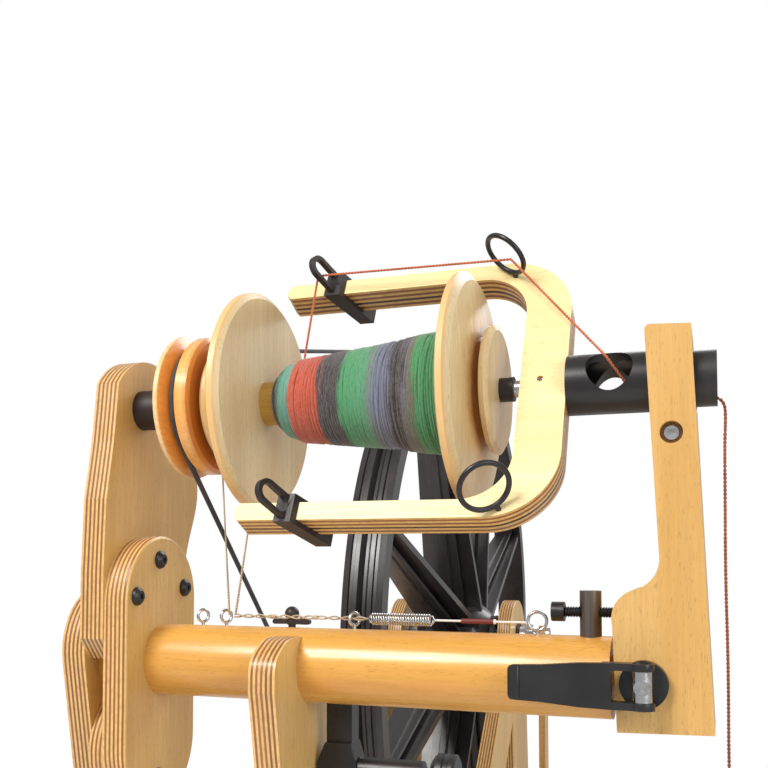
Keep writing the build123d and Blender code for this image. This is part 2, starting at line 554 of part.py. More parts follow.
def footman(strip_x, pin_y):
    """Strip that hangs from a crank pin and reaches down beside its treadle."""
    outline = bar((pin_y, AXLE_Z), (pin_y, TREADLE_Z), 18)
    return plate(outline, strip_x, FOOTMAN_T) - x_cyl(4 + FIT, strip_x - 1, strip_x + FOOTMAN_T + 1, pin_y, AXLE_Z)


def treadles():
    left_y, right_y = AXLE_Y - CRANK_THROW, AXLE_Y + CRANK_THROW
    add("right_treadle", treadle(right_y, right_y, -12, 60))
    add("left_treadle", treadle(right_y - 116, left_y - 30, LEFT_FOOTMAN_X + FOOTMAN_T + 4, 60, left_y + 6))
    add("right_footman", footman(RIGHT_FOOTMAN_X, right_y))
    add("left_footman", footman(LEFT_FOOTMAN_X, left_y))


# --- yarn -----------------------------------------------------------------------------------------------
def yarn_lead():
    """From the wound yarn up to the upper hook, along the arm to the ring guide and into the window."""
    x, y, z = HOOK_EYE
    before, after = (flyer_point(HOOK_X + x + dx, y, z) for dx in (-4, 4))
    guide = flyer_point(63, -19, 67)
    window, inside = flyer_point(111, -12.6, 7), flyer_point(119, -4, -2)
    points = [(-44, 0, FLYER_Z + 24), before, after, guide, window, inside]
    return Compound([run(a, b, 0.8) for a, b in zip(points, points[1:])])


YARN_ROUTE = [(150, 0, -8.6), (155, 0.2, -8.7), (160.1, 0.1, -9.2), (162.6, 0.4, -12.6), (162.7, 0.1, -19),
              (162.1, 0.5, -31), (161.9, 0.1, -54), (161.4, 0.6, -90), (161.9, 0.3, -130), (161.3, 0.8, -172),
              (161.8, 0.4, -214), (161.4, 0.8, -250)]


def build():
    frame_members()
    base()
    add("mother_of_all", mother_of_all())
    add("eye_screws", eye_screws())
    add("stop_post", stop_post())
    add("stop_screw", stop_screw())
    brake_hardware()
    add("brake_cord", brake_cord())
    add("brake_tie", brake_tie())
    add("brake_knob", brake_knob())
    drive_wheel()
    add("drive_band", drive_band())
    flyer()
    bobbin()
    maiden_group()
    add("clamp_lever", clamp_lever())
    tension_unit()
    treadles()
    add("yarn_lead", yarn_lead())
    add("yarn_tail", cord([(x, y, FLYER_Z + z) for x, y, z in YARN_ROUTE], 0.9))


build()
boxes = [solid.bounding_box() for solid in nodes.values()]
low_x, high_x = min(b.min.X for b in boxes), max(b.max.X for b in boxes)
low_y, high_y = min(b.min.Y for b in boxes), max(b.max.Y for b in boxes)
ORIGIN = Vector(-(low_x + high_x) / 2, -(low_y + high_y) / 2, -min(b.min.Z for b in boxes))
print("layout to row frame", ORIGIN)
os.makedirs("parts", exist_ok=True)
for node_name, solid in nodes.items():
    export_step(Pos(ORIGIN) * solid, f"parts/{node_name}.step")
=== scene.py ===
"""Spinning wheel: materials, wound yarn, cords, coil spring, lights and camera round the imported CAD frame."""
import json
import random
from math import cos, pi, radians, sin

import bpy
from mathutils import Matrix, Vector


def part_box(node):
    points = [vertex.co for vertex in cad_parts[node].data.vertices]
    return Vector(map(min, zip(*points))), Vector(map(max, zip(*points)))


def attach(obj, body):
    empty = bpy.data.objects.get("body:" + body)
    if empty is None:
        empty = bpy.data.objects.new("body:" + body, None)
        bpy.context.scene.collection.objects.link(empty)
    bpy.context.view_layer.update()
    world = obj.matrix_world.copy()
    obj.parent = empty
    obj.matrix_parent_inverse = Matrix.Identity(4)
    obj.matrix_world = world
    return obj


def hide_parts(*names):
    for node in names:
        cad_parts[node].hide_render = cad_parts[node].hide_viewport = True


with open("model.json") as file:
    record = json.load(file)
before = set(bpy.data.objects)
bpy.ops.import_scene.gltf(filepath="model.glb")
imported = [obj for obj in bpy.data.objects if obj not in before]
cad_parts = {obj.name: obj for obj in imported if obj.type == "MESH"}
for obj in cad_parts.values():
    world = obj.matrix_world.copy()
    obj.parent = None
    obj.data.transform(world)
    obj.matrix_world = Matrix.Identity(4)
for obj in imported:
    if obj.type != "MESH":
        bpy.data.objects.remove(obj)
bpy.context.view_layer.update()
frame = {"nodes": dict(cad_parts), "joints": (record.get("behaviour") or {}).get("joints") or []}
NODES = frame["nodes"]
JOINTS = {joint["name"]: joint for joint in frame["joints"]}
FLYER = Vector(JOINTS["flyer_spin"]["pos_m"])
WHEEL = Vector(JOINTS["wheel_spin"]["pos_m"])
FLYER_TILT = radians(27)
FLYER_NORMAL = Vector((0, cos(FLYER_TILT), -sin(FLYER_TILT)))
X, Y, Z = Vector((1, 0, 0)), Vector((0, 1, 0)), Vector((0, 0, 1))
MM = 0.001
draw = random.Random(7)
CAMERA_PLACE = (0.1414, -0.8650, 0.620)
CAMERA_TURN = (radians(92.9), 0, radians(20.2))
CAMERA_LENS, CAMERA_SHIFT = 45.98, (0.031, 0.157)
FLOOR_HALF = 1.5                     # small enough to stay out of the main view
WORLD_GLOW = 0.5                     # the world's strength for everything but the camera's own rays


# --- node graphs ----------------------------------------------------------------------------------------
class Graph:
    """Short-hand for building one material's node tree."""

    def __init__(self, name, roughness=0.5, metallic=0.0, **inputs):
        self.material = bpy.data.materials.new(name)
        self.material.use_nodes = True
        self.tree = self.material.node_tree
        self.shader = self.tree.nodes["Principled BSDF"]
        self.shader.inputs["Roughness"].default_value = roughness
        self.shader.inputs["Metallic"].default_value = metallic
        for socket, value in inputs.items():
            self.shader.inputs[socket.replace("_", " ")].default_value = value
        coordinates = self.tree.nodes.new("ShaderNodeTexCoord")
        self.place, self.normal = coordinates.outputs["Object"], coordinates.outputs["Normal"]

    def put(self, socket, value):
        if isinstance(value, bpy.types.NodeSocket):
            self.tree.links.new(value, socket)
        elif value is not None:
            socket.default_value = value

    def math(self, operation, a, b=None, clamp=False):
        node = self.tree.nodes.new("ShaderNodeMath")
        node.operation, node.use_clamp = operation, clamp
        self.put(node.inputs[0], a)
        self.put(node.inputs[1], b)
        return node.outputs[0]

    def along(self, vector, axis, offset=0.0):
        """How far a vector reaches along an axis, less an offset."""
        node = self.tree.nodes.new("ShaderNodeVectorMath")
        node.operation = "DOT_PRODUCT"
        self.put(node.inputs[0], vector)
        node.inputs[1].default_value = axis
        return self.math("SUBTRACT", node.outputs["Value"], offset)

    def stretched(self, scale, turn=(0, 0, 0), shift=(0, 0, 0)):
        """Object coordinates shifted, turned and scaled separately on each axis."""
        node = self.tree.nodes.new("ShaderNodeMapping")
        node.inputs["Location"].default_value = shift
        node.inputs["Rotation"].default_value = turn
        node.inputs["Scale"].default_value = scale
        self.put(node.inputs["Vector"], self.place)
        return node.outputs[0]

    def noise(self, vector, scale=1.0, detail=4.0, roughness=0.55, distortion=0.0):
        node = self.tree.nodes.new("ShaderNodeTexNoise")
        self.put(node.inputs["Vector"], vector)
        for socket, value in (("Scale", scale), ("Detail", detail), ("Roughness", roughness),
                              ("Distortion", distortion)):
            node.inputs[socket].default_value = value
        return node.outputs["Fac"]

    def ramp(self, value, stops, interpolation="LINEAR"):
        """Colours by value; a stop is (place, colour)."""
        node = self.tree.nodes.new("ShaderNodeValToRGB")
        node.color_ramp.interpolation = interpolation
        elements = node.color_ramp.elements
        while len(elements) < len(stops):
            elements.new(0.5)
        for element, (place, colour) in zip(elements, stops):
            element.position, element.color = place, (*colour, 1)
        self.put(node.inputs[0], value)
        return node.outputs["Color"]

    def mix(self, factor, a, b, kind="MIX"):
        node = self.tree.nodes.new("ShaderNodeMix")
        node.data_type, node.blend_type = "RGBA", kind
        self.put(node.inputs[0], factor)
        for socket, value in ((node.inputs[6], a), (node.inputs[7], b)):
            self.put(socket, (*value, 1) if isinstance(value, tuple) else value)
        return node.outputs[2]

    def span(self, value, low, high, new_low=0.0, new_high=1.0):
        node = self.tree.nodes.new("ShaderNodeMapRange")
        self.put(node.inputs[0], value)
        for socket, number in zip(node.inputs[1:5], (low, high, new_low, new_high)):
            socket.default_value = number
        return node.outputs[0]

    def radius(self, centre):
        """Distance from the X axis through centre."""
        y = self.along(self.place, Y, centre.y)
        z = self.along(self.place, Z, centre.z)
        return self.math("SQRT", self.math("ADD", self.math("MULTIPLY", y, y), self.math("MULTIPLY", z, z)))

    def finish(self, colour, roughness=None, height=None, strength=0.2, distance=0.0004):
        """Wires the colour, roughness and bump height to the shader and returns the material."""
        self.put(self.shader.inputs["Base Color"], colour if not isinstance(colour, tuple) else (*colour, 1))
        self.put(self.shader.inputs["Roughness"], roughness)
        if height is not None:
            bump = self.tree.nodes.new("ShaderNodeBump")
            bump.inputs["Strength"].default_value = strength
            bump.inputs["Distance"].default_value = distance
            self.put(bump.inputs["Height"], height)
            self.put(self.shader.inputs["Normal"], bump.outputs[0])
        return self.material


def grain_scale(axis, along, across):
    """Noise scale that is low along the grain and high across it."""
    return tuple(along if abs(component) > 0.5 else across for component in axis)


def wood_colour(graph, grain, light, dark, turn=(0, 0, 0), shift=(0, 0, 0)):
    """Figured wood: broad growth bands, fine fibres and short dark flecks."""
    bands = graph.noise(graph.stretched(grain_scale(grain, 3, 38), turn, shift), 1, 3, 0.5, 0.6)
    fibres = graph.noise(graph.stretched(grain_scale(grain, 30, 900), turn, shift), 1, 3, 0.6)
    flecks = graph.noise(graph.stretched(grain_scale(grain, 260, 1500), turn, shift), 1, 1, 0.5)
    between = tuple((a + b) / 2 for a, b in zip(light, dark))
    base = graph.ramp(bands, [(0.3, dark), (0.52, between), (0.7, light)])
    fibre = graph.span(fibres, 0.35, 0.65, 0.0, 0.35)
    colour = graph.mix(fibre, base, tuple(value * 0.74 for value in dark))
    fleck = graph.span(flecks, 0.64, 0.72, 0.0, 0.4)
    return graph.mix(fleck, colour, tuple(value * 0.5 for value in dark)), fibres


def solid_wood(name, grain, light, dark, roughness=0.34, turn=(0, 0, 0)):
    graph = Graph(name, roughness, Coat_Weight=0.25, Coat_Roughness=0.18)
    shift = tuple(draw.uniform(-1, 1) for _ in range(3))
    colour, fibres = wood_colour(graph, grain, light, dark, turn, shift)
    return graph.finish(colour, graph.span(fibres, 0.3, 0.7, roughness - 0.08, roughness + 0.1), fibres, 0.12)


def plywood(name, axis, start, thickness, grain, light, dark, plies, dark_ply=None):
    """Plywood: figured faces and an edge of alternating layers across axis."""
    graph = Graph(name, 0.36, Coat_Weight=0.25, Coat_Roughness=0.2)
    shift = tuple(draw.uniform(-1, 1) for _ in range(3))
    face, fibres = wood_colour(graph, grain, light, dark, (0, 0, 0), shift)
    depth = graph.math("DIVIDE", graph.along(graph.place, axis, start), thickness)
    wobble = graph.noise(graph.place, 45, 2, 0.5)
    depth = graph.math("ADD", depth, graph.span(wobble, 0, 1, -0.012, 0.012))
    stops = []
    for ply in range(plies):
        if ply % 2 == 0:
            tint = draw.uniform(0.9, 1.05)
            colour = tuple(tint * value for value in (0.76, 0.47, 0.17))
        else:
            tint = draw.uniform(0.8, 1.25)
            colour = tuple(tint * value for value in (0.26, 0.10, 0.035))
        if ply == dark_ply:
            colour = (0.03, 0.015, 0.012)
        edge = 0.012
        stops += [(ply / plies + edge, colour), ((ply + 1) / plies - edge, colour)]
    layers = graph.ramp(depth, stops)
    streaks = graph.noise(graph.stretched((300, 300, 300)), 1, 3, 0.6)
    layers = graph.mix(graph.span(streaks, 0.4, 0.7, 0, 0.3), layers, (0.2, 0.08, 0.03))
    facing = graph.math("ABSOLUTE", graph.along(graph.normal, axis))
    colour = graph.mix(graph.span(facing, 0.55, 0.85), layers, face)
    return graph.finish(colour, graph.span(fibres, 0.3, 0.7, 0.3, 0.48), fibres, 0.12)


def plastic(name, colour, roughness, grain=900, strength=0.15, spread=0.12):
    """Moulded or coated black: fine texture, and patches that are a little duller."""
    graph = Graph(name, roughness, Specular_IOR_Level=0.5)
    fine, broad = graph.noise(graph.place, grain, 3, 0.6), graph.noise(graph.place, 28, 3, 0.6)
    shade = graph.ramp(broad, [(0.3, tuple(value * 0.75 for value in colour)),
                               (0.7, tuple(min(1, value * 1.3 + 0.004) for value in colour))])
    return graph.finish(shade, graph.span(broad, 0.3, 0.7, roughness - spread / 2, roughness + spread), fine,
                        strength, 0.0002)


def metal(name, colour, roughness, brushed=None):
    graph = Graph(name, roughness, 1.0)
    scale = grain_scale(brushed, 20, 1400) if brushed else (300, 300, 300)
    scratches = graph.noise(graph.stretched(scale), 1, 3, 0.6)
    shade = graph.ramp(scratches, [(0.3, tuple(value * 0.8 for value in colour)), (0.7, colour)])
    return graph.finish(shade, graph.span(scratches, 0.3, 0.7, roughness - 0.08, roughness + 0.12), scratches,
                        0.08, 0.0001)


def whorl_wood():
    """Orange-dyed layered wood with a dark line in the band's groove."""
    graph = Graph("whorl_wood", 0.28, Coat_Weight=0.5, Coat_Roughness=0.12)
    low, high = (corner.x for corner in map(Vector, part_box("flyer_whorl")))
    depth = graph.math("DIVIDE", graph.along(graph.place, X, low), high - low)
    pale, orange, deep = (0.86, 0.56, 0.25), (0.86, 0.36, 0.07), (0.62, 0.2, 0.03)
    colour = graph.ramp(depth, [(0, pale), (0.16, (0.88, 0.6, 0.3)), (0.24, orange), (0.36, deep),
                                (0.5, deep), (0.62, orange), (0.8, (0.9, 0.46, 0.13)), (1, deep)])
    fibres = graph.noise(graph.stretched((500, 60, 500)), 1, 3, 0.6)
    colour = graph.mix(graph.span(fibres, 0.4, 0.7, 0, 0.35), colour, (0.5, 0.17, 0.03))
    return graph.finish(colour, None, fibres, 0.08)


def flange_wood(name, node, stops, turn):
    """Pale turned maple whose stain changes along the axis, with a warm rim."""
    graph = Graph(name, 0.36, Coat_Weight=0.2, Coat_Roughness=0.25)
    face, fibres = wood_colour(graph, Z, (0.78, 0.62, 0.36), (0.64, 0.45, 0.22), (turn, 0, 0))
    low, high = (corner.x for corner in map(Vector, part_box(node)))
    depth = graph.math("DIVIDE", graph.along(graph.place, X, low), high - low)
    depth = graph.math("ADD", depth, graph.span(graph.noise(graph.place, 60, 3), 0, 1, -0.05, 0.05))
    stain = graph.ramp(depth, stops)
    colour = graph.mix(1.0, face, stain, "MULTIPLY")
    rim = graph.span(graph.radius(FLYER), 0.0566, 0.0574)
    colour = graph.mix(graph.math("MULTIPLY", rim, 0.6), colour, (0.78, 0.42, 0.13))
    return graph.finish(colour, graph.span(fibres, 0.3, 0.7, 0.3, 0.46), fibres, 0.15)


def composite():
    """Black-brown moulded composite with a satin skin and shallow machining rings."""
    graph = Graph("composite", 0.34, Coat_Weight=0.35, Coat_Roughness=0.25)
    mottled = graph.noise(graph.place, 22, 5, 0.65)
    rings = graph.noise(graph.math("MULTIPLY", graph.radius(WHEEL), 900), 1, 2)
    colour = graph.ramp(mottled, [(0.3, (0.008, 0.006, 0.007)), (0.55, (0.02, 0.014, 0.015)),
                                  (0.75, (0.04, 0.03, 0.03))])
    return graph.finish(colour, graph.span(mottled, 0.3, 0.7, 0.26, 0.46), rings, 0.12)


def fibre(name, colour, tint, sheen=0.35):
    """Spun fibre: colour drifts along it and fine hairs break up the light."""
    graph = Graph(name, 0.85, Sheen_Weight=sheen, Sheen_Roughness=0.5)
    drift, hairs = graph.noise(graph.place, 60, 3, 0.6), graph.noise(graph.place, 1800, 3, 0.7)
    shade = graph.mix(graph.span(drift, 0.35, 0.65), colour, tint)
    shade = graph.mix(graph.span(hairs, 0.4, 0.7, 0, 0.45), shade, tuple(value * 0.45 for value in colour))
    return graph.finish(shade, None, hairs, 0.5, 0.0003)


def package_fibre():
    """Hand-dyed wool whose colour changes along the bobbin, with streaks round each layer."""
    graph = Graph("package_fibre", 0.9, Sheen_Weight=0.4, Sheen_Roughness=0.5)
    low, high = (corner.x for corner in map(Vector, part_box("yarn_package")))
    depth = graph.math("DIVIDE", graph.along(graph.place, X, low), high - low)
    wander = graph.noise(graph.stretched((260, 28, 28)), 1, 3, 0.6)
    depth = graph.math("ADD", depth, graph.span(wander, 0.2, 0.8, -0.035, 0.035))
    charcoal, rust, green = (0.035, 0.024, 0.03), (0.46, 0.055, 0.018), (0.035, 0.25, 0.085)
    colours = [(0, charcoal), (0.045, charcoal), (0.06, (0.09, 0.33, 0.23)), (0.125, (0.1, 0.3, 0.24)),
               (0.14, rust), (0.295, rust), (0.315, charcoal), (0.415, charcoal), (0.435, green),
               (0.56, (0.06, 0.26, 0.12)), (0.6, (0.12, 0.17, 0.15)), (0.625, (0.14, 0.16, 0.24)),
               (0.68, (0.13, 0.13, 0.2)), (0.7, charcoal), (0.75, (0.03, 0.02, 0.02)),
               (0.77, (0.12, 0.1, 0.13)), (0.81, (0.11, 0.12, 0.06)), (0.84, green),
               (0.93, (0.03, 0.2, 0.06)), (0.97, (0.05, 0.09, 0.04)), (1, charcoal)]
    colour = graph.ramp(depth, colours)
    hairs = graph.noise(graph.stretched((2600, 500, 500)), 1, 3, 0.7)
    light = graph.mix(graph.span(hairs, 0.45, 0.75, 0, 0.35), colour, (0.34, 0.36, 0.3))
    shade = graph.mix(graph.span(hairs, 0.2, 0.45, 0.5, 0), light, (0.01, 0.01, 0.01))
    return graph.finish(shade, None, hairs, 0.6, 0.0003)


def banded(name, axis, start, marks, roughness=0.5):
    """Plain pieces in a row on one rod: a colour from each mark on, measured along an axis."""
    graph = Graph(name, roughness)
    depth = graph.along(graph.place, axis, start)
    last = marks[-1][0] * 1.2
    stops = [(place / last, colour) for place, colour in marks]
    fine = graph.noise(graph.place, 1500, 2)
    colour = graph.ramp(graph.math("DIVIDE", depth, last), stops, "CONSTANT")
    return graph.finish(colour, None, fine, 0.2, 0.0001)


# --- carried-over CAD nodes -----------------------------------------------------------------------------
def paint(material, *names):
    for name in names:
        for holder in NODES[name].material_slots:
            holder.material = material


def paint_frame():
    light, dark = (0.74, 0.48, 0.18), (0.6, 0.35, 0.1)
    grains = {"left_side_plate": Z, "right_side_plate": Z, "back_maiden": Z, "maiden_spacer": Z,
              "clamp_cheek": Z,
              "right_footman": Z, "left_footman": Z}
    for name, grain in grains.items():
        low, high = map(Vector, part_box(name))
        paint(plywood(f"ply_{name}", X, low.x, high.x - low.x, grain, light, dark, 11), name)
    for name in ("right_treadle", "left_treadle"):
        thickness = 18 * MM
        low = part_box(name)[0][2] + 2 * MM
        paint(plywood(f"ply_{name}", Z, low, thickness, X, light, dark, 13), name)
    for name in ("base_arms", "outriggers"):
        low, high = map(Vector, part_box(name))
        thickness = 14 * MM
        paint(plywood(f"ply_{name}", Y, low.y % thickness, thickness, X, light, dark, 11), name)
    amber, honey = (0.8, 0.45, 0.1), (0.62, 0.28, 0.05)
    paint(solid_wood("dowel_maple", X, amber, honey, 0.26), "mother_of_all", "cross_bars")
    paint(solid_wood("upright_maple", Z, (0.75, 0.48, 0.18), (0.6, 0.33, 0.09), 0.32), "front_maiden")
    paint(solid_wood("bar_maple", Y, amber, honey, 0.32), "heel_bar")
    paint(solid_wood("core_wood", X, (0.62, 0.36, 0.07), (0.48, 0.25, 0.04), 0.4), "bobbin_core")


def paint_flyer():
    low = FLYER.dot(FLYER_NORMAL) - 7.5 * MM
    pale, cream = (0.93, 0.79, 0.43), (0.84, 0.65, 0.3)
    paint(plywood("ply_flyer", FLYER_NORMAL, low, 15 * MM, X, pale, cream, 9, 5), "flyer_frame")
    paint(whorl_wood(), "flyer_whorl")
    white, warm, brown = (1, 1, 1), (1.0, 0.9, 0.74), (0.62, 0.34, 0.14)
    paint(flange_wood("rear_flange_wood", "bobbin_rear_flange",
                      [(0, warm), (0.2, (1, 0.8, 0.55)), (0.4, brown), (0.55, (1, 0.75, 0.45)), (0.7, warm),
                       (0.8, white), (1, white)], 0.5), "bobbin_rear_flange")
    paint(flange_wood("front_flange_wood", "bobbin_front_flange",
                      [(0, white), (0.46, white), (0.54, warm), (0.6, brown), (0.68, brown), (0.75, warm),
                       (0.85, white), (1, white)], -0.4), "bobbin_front_flange")


def paint_hardware():
    black = (0.012, 0.010, 0.011)
    paint(plastic("satin_black", black, 0.34), "orifice_tube", "cheek_screws", "frame_bolts",
          "angle_brackets", "stop_screw", "ring_guides")
    paint(plastic("moulded_black", (0.018, 0.012, 0.013), 0.42, 600, 0.25), "upper_hook", "lower_hook",
          "rear_bearing", "bobbin_bushing", "front_bearing", "hub_cup", "axle_bearings", "brake_knob")
    paint(plastic("lever_black", (0.012, 0.012, 0.013), 0.3, 1200, 0.08), "clamp_lever", "clamp_disc",
          "tension_hanger", "tension_sleeve", "tension_knob")
    paint(composite(), "wheel_rim", "wheel_spokes")
    paint(metal("bright_steel", (0.62, 0.62, 0.63), 0.24), "eye_screws", "flyer_set_screw",
          "maiden_set_screw", "clamp_barrel", "crank_pins")
    paint(metal("shaft_steel", (0.55, 0.55, 0.56), 0.28, X), "flyer_shaft", "wheel_axle",
          "treadle_axle", "cranks")
    paint(metal("post_steel", (0.2, 0.17, 0.15), 0.42, Z), "stop_post")
    paint(fibre("band_cord", (0.035, 0.035, 0.04), (0.07, 0.07, 0.08), 0.1), "drive_band")
    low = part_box("brake_line")[0][0]
    paint(banded("line_and_sleeve", X, low, [(0, (0.75, 0.73, 0.68)), (13.2 * MM, (0.16, 0.02, 0.02)),
                                             (29.2 * MM, (0.8, 0.78, 0.73))]), "brake_line")


def soften_edges():
    """Gives the routed wooden parts the rounded edges that sanding leaves."""
    widths = {"left_side_plate": 1.6, "right_side_plate": 1.6, "back_maiden": 1.8,
              "maiden_spacer": 1.4, "flyer_frame": 1.4, "front_maiden": 2.0, "base_arms": 1.4,
              "outriggers": 1.4, "heel_bar": 1.4, "right_treadle": 2.0, "left_treadle": 2.0,
              "right_footman": 1.2, "left_footman": 1.2,
              "clamp_lever": 0.8, "upper_hook": 0.6, "lower_hook": 0.6, "wheel_spokes": 0.5}
    for name, width in widths.items():
        piece = NODES[name]
        weld = piece.modifiers.new("Weld", "WELD")
        weld.merge_threshold = 0.00001
        bevel = piece.modifiers.new("Bevel", "BEVEL")
        bevel.width, bevel.segments = width * MM, 3
        bevel.limit_method, bevel.angle_limit = "ANGLE", radians(50)
        bevel.harden_normals = True


# --- curves ---------------------------------------------------------------------------------------------
def smooth_line(points, step=0.0012):
    """A smooth line near given points: quadratic arcs that meet midway between them."""
    points = [Vector(point) for point in points]
    middles = [points[0]] + [(a + b) / 2 for a, b in zip(points[1:-1], points[2:-1])] + [points[-1]]
    line = [points[0]]
    for start, corner, end in zip(middles, points[1:-1], middles[1:]):
        count = max(2, int(((corner - start).length + (end - corner).length) / step))
        for i in range(1, count + 1):
            t = i / count
            line.append((1 - t) ** 2 * start + 2 * t * (1 - t) * corner + t * t * end)
    return line


def straight_line(points, step=0.0015):
    points = [Vector(point) for point in points]
    line = [points[0]]
    for a, b in zip(points, points[1:]):
        count = max(1, int((b - a).length / step))
        line += [a.lerp(b, i / count) for i in range(1, count + 1)]
    return line


def turned_frames(line):
    """Two directions square to the line at each point, carried along it without twist."""
    side = Vector((0.31, 0.53, 0.79))
    frames = []
    for i in range(len(line)):
        ahead = (line[min(i + 1, len(line) - 1)] - line[max(i - 1, 0)]).normalized()
        side = (side - ahead * side.dot(ahead)).normalized()
        frames.append((side.copy(), ahead.cross(side)))
    return frames


def strand_object(name, strands, radius, material, sides=2):
    """One curve object whose splines are round strands."""
    curve = bpy.data.curves.new(name, "CURVE")
    curve.dimensions, curve.bevel_depth, curve.bevel_resolution = "3D", radius, sides
    curve.use_fill_caps = True
    for strand in strands:
        spline = curve.splines.new("POLY")
        spline.points.add(len(strand) - 1)
        for target, point in zip(spline.points, strand):
            target.co = (*point, 1)
    piece = bpy.data.objects.new(name, curve)
    bpy.context.scene.collection.objects.link(piece)
    curve.materials.append(material)
    return piece


def plied(line, radius, plies, pitch, phase=0.0):
    """Strands wound round a centre line, as in plied yarn or laid cord."""
    frames = turned_frames(line)
    travelled, strands = 0.0, [[] for _ in range(plies)]
    for i, (point, (u, v)) in enumerate(zip(line, frames)):
        if i:
            travelled += (point - line[i - 1]).length
        for ply in range(plies):
            angle = phase + 2 * pi * (travelled / pitch + ply / plies)
            strands[ply].append(point + radius * (cos(angle) * u + sin(angle) * v))
    return strands


def twisted(name, line, radius, material, plies=2, pitch=0.004):
    """Twisted cord of the given outer radius."""
    share = radius / (1 + 1 / 0.95) if plies == 2 else radius * 0.42
    return strand_object(name, plied(line, radius - share, plies, pitch), share, material)


def as_mesh(piece):
    """Turns a curve object into a mesh object of the same name."""
    mesh = bpy.data.meshes.new_from_object(piece.evaluated_get(bpy.context.evaluated_depsgraph_get()))
    name = piece.name
    bpy.data.objects.remove(piece)
    mesh.name = name
    solid = bpy.data.objects.new(name, mesh)
    bpy.context.scene.collection.objects.link(solid)
    return solid


def mm(x, y, z):
    """A point given in mm from the flyer axis, along the layout's X, in the row frame."""
    return Vector((ORIGIN_X + x * MM, FLYER.y + y * MM, FLYER.z + z * MM))


ORIGIN_X = -18.5 * MM


# --- yarn, cords and spring -----------------------------------------------------------------------------
def yarn_package():
    """Wool wound layer on layer: a close spiral, then loose turns that cross it, then stray hairs."""
    low, high = map(Vector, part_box("yarn_package"))
    profile = [(0, 14.5), (0.051, 19), (0.133, 22), (0.378, 24.5), (0.583, 26.5), (0.828, 30), (1, 31.5)]

    def reach(part):
        for (a, ra), (b, rb) in zip(profile, profile[1:]):
            if part <= b:
                return (ra + (rb - ra) * (part - a) / (b - a)) * MM
        return profile[-1][1] * MM

    strand_r, span = 0.85 * MM, high.x - low.x - 2.4 * MM

    def wind(turns, start, end, depth, wander, lean):
        """Points of a spiral from start to end along the package; lean tips each turn."""
        points, steps = [], 44
        swell = [draw.uniform(-1, 1) for _ in range(int(turns) + 3)]
        for i in range(int(turns * steps) + 1):
            turn, angle = i / steps, 2 * pi * i / steps
            whole, rest = int(turn), turn - int(turn)
            local = swell[whole] * (1 - rest) + swell[whole + 1] * rest
            part = start + (end - start) * turn / turns + lean * sin(angle + whole * 0.7) + wander * local
            part = min(max(part, 0.0), 1.0)
            r = reach(part) - strand_r - depth + 0.35 * MM * local
            r = min(r, reach(part) - strand_r)
            points.append(Vector((low.x + 1.2 * MM + span * part, FLYER.y + r * cos(angle),
                                  FLYER.z + r * sin(angle))))
        return points

    under = wind(66, 0, 1, 0.5 * MM, 0.002, 0.0)
    over = [wind(draw.uniform(5, 9), start, start + draw.uniform(0.09, 0.16) * draw.choice((-1, 1)),
                 0.0, 0.012, 0.012)
            for start in [0.1 + 0.05 * i for i in range(17)]]
    wool = package_fibre()
    piece = strand_object("wound_yarn", [under] + over, strand_r, wool)
    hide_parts("yarn_package")
    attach(piece, "bobbin")

    steps = 64
    rings = [(low.x + 1.2 * MM + span * i / 30, reach(i / 30) - 1.5 * MM) for i in range(31)]
    verts = [(x, FLYER.y + r * cos(2 * pi * k / steps), FLYER.z + r * sin(2 * pi * k / steps))
             for x, r in rings for k in range(steps)]
    faces = [(i * steps + k, i * steps + (k + 1) % steps,
              (i + 1) * steps + (k + 1) % steps, (i + 1) * steps + k)
             for i in range(30) for k in range(steps)]
    faces += [tuple(range(steps)), tuple(range(30 * steps, 31 * steps))[::-1]]
    mesh = bpy.data.meshes.new("yarn_bed")
    mesh.from_pydata(verts, [], faces)
    mesh.materials.append(wool)
    bed = bpy.data.objects.new("yarn_bed", mesh)
    bpy.context.scene.collection.objects.link(bed)
    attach(bed, "bobbin")

    hairs = []
    for _ in range(900):
        part, angle = draw.uniform(0.02, 0.98), draw.uniform(0, 2 * pi)
        r, swing, drift = reach(part), draw.uniform(-0.12, 0.12), draw.uniform(-1.5, 1.5) * MM
        lift = draw.uniform(0.1, 0.7) * MM
        hair = []
        for i in range(5):
            t = i / 4
            rr, aa = r - 0.5 * MM + lift * sin(pi * t * 0.8), angle + swing * t
            x = min(max(low.x + span * part + drift * t, low.x), high.x)
            hair.append(Vector((x, FLYER.y + rr * cos(aa), FLYER.z + rr * sin(aa))))
        hairs.append(hair)
    fuzz = strand_object("yarn_fuzz", hairs, 0.05 * MM, wool, 0)
    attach(fuzz, "bobbin")


def flyer_point(x, y, z):
    """A point drawn on the flat flyer, in mm, at its turned place."""
    return mm(x, y * cos(FLYER_TILT) + z * sin(FLYER_TILT), -y * sin(FLYER_TILT) + z * cos(FLYER_TILT))


def yarn_lead(wool):
    """From the wound yarn through the upper hook and ring guide into the orifice window."""
    points = [mm(-44, 0, 23), flyer_point(-43.6, -17, 71.4), flyer_point(-35.6, -17, 71.4),
              flyer_point(63, -19, 67), flyer_point(111, -12.6, 7), flyer_point(119, -4, -2)]
    piece = twisted("yarn_to_orifice", straight_line(points, 0.0008), 0.75 * MM, wool, 2, 0.0034)
    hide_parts("yarn_lead")
    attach(piece, "flyer")


YARN_ROUTE = [(150, 0, -8.6), (155, 0.2, -8.7), (160.1, 0.1, -9.2), (162.6, 0.4, -12.6), (162.7, 0.1, -19),
              (162.1, 0.5, -31), (161.9, 0.1, -54), (161.4, 0.6, -90), (161.9, 0.3, -130), (161.3, 0.8, -172),
              (161.8, 0.4, -214), (161.4, 0.8, -250)]


